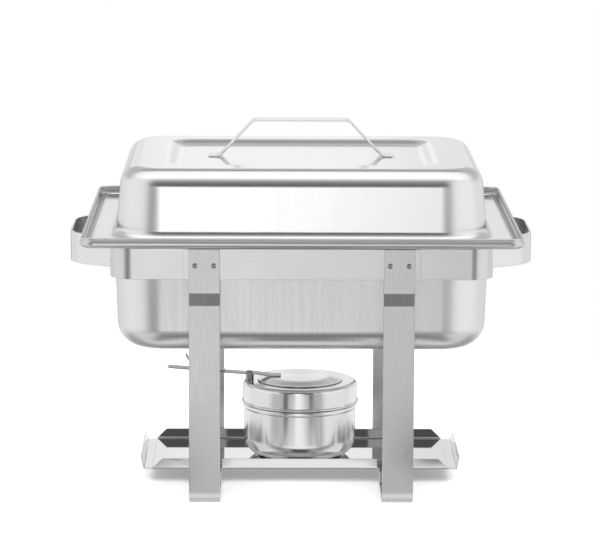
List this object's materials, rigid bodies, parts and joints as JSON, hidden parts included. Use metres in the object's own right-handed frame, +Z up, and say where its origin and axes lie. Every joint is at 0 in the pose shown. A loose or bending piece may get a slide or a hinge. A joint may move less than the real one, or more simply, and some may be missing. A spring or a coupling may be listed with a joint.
{
  "type": "chafing dish food warmer",
  "caption": "Table food warmer: a flat-strip stand with carrying handles holds a water pan, food pan and domed lid over a burner with a swing cover on a sliding tray.",
  "frame": {"origin": "on the table, under the middle of the stand", "axes": "+X along the long side to the right, -Y to the front, +Z up"},
  "size_m": [0.3802, 0.293, 0.2975],
  "materials": {
    "band_steel": "brushed along the strip",
    "leg_steel": "brushed along the strip",
    "grip_steel": "brushed along the strip",
    "rivet_steel": "bright",
    "pan_steel": "satin, drawn",
    "lid_steel": "mirror polish",
    "tray_steel": "mirror polish",
    "burner_steel": "polished",
    "arm_steel": "satin"
  },
  "bodies": {
    "stand": {"left_end_band": "band_steel", "right_end_band": "band_steel", "front_rail": "band_steel", "rear_rail": "band_steel", "left_leg_strip": "leg_steel", "right_leg_strip": "leg_steel", "leg_rivets": "rivet_steel", "left_handle": "grip_steel", "right_handle": "grip_steel", "handle_rivets": "rivet_steel"},
    "water_pan": {"water_pan": "pan_steel"},
    "food_pan": {"food_pan": "pan_steel"},
    "lid": {"lid_shell": "lid_steel", "lid_handle": "lid_steel"},
    "tray": {"burner_tray": "tray_steel"},
    "burner": {"burner_cup": "burner_steel"},
    "burner_lid": {"burner_collar": "burner_steel", "pivot_bush": "arm_steel", "pivot_rivet": "rivet_steel"},
    "cover": {"cover_disc": "burner_steel", "cover_arm": "arm_steel", "thumb_tab": "arm_steel"}
  },
  "joints": [
    {"name": "water_pan_lift", "type": "slide", "parent": "stand", "child": "water_pan", "axis": [0, 0, 1], "range_m": [0, 0.1]},
    {"name": "food_pan_lift", "type": "slide", "parent": "water_pan", "child": "food_pan", "axis": [0, 0, 1], "range_m": [0, 0.08]},
    {"name": "lid_lift", "type": "slide", "parent": "food_pan", "child": "lid", "axis": [0, 0, 1], "range_m": [0, 0.12]},
    {"name": "tray_slide", "type": "slide", "parent": "stand", "child": "tray", "axis": [1, 0, 0], "range_m": [-0.22, 0.22]},
    {"name": "burner_slide", "type": "slide", "parent": "tray", "child": "burner", "axis": [1, 0, 0], "range_m": [-0.075, 0.075]},
    {"name": "burner_lid_lift", "type": "slide", "parent": "burner", "child": "burner_lid", "axis": [0, 0, 1], "range_m": [0, 0.022]},
    {"name": "cover_swing", "type": "hinge", "parent": "burner_lid", "child": "cover", "pos_m": [-0.0424, 0, 0.082], "axis": [0, 0, 1], "continuous": true}
  ]
}
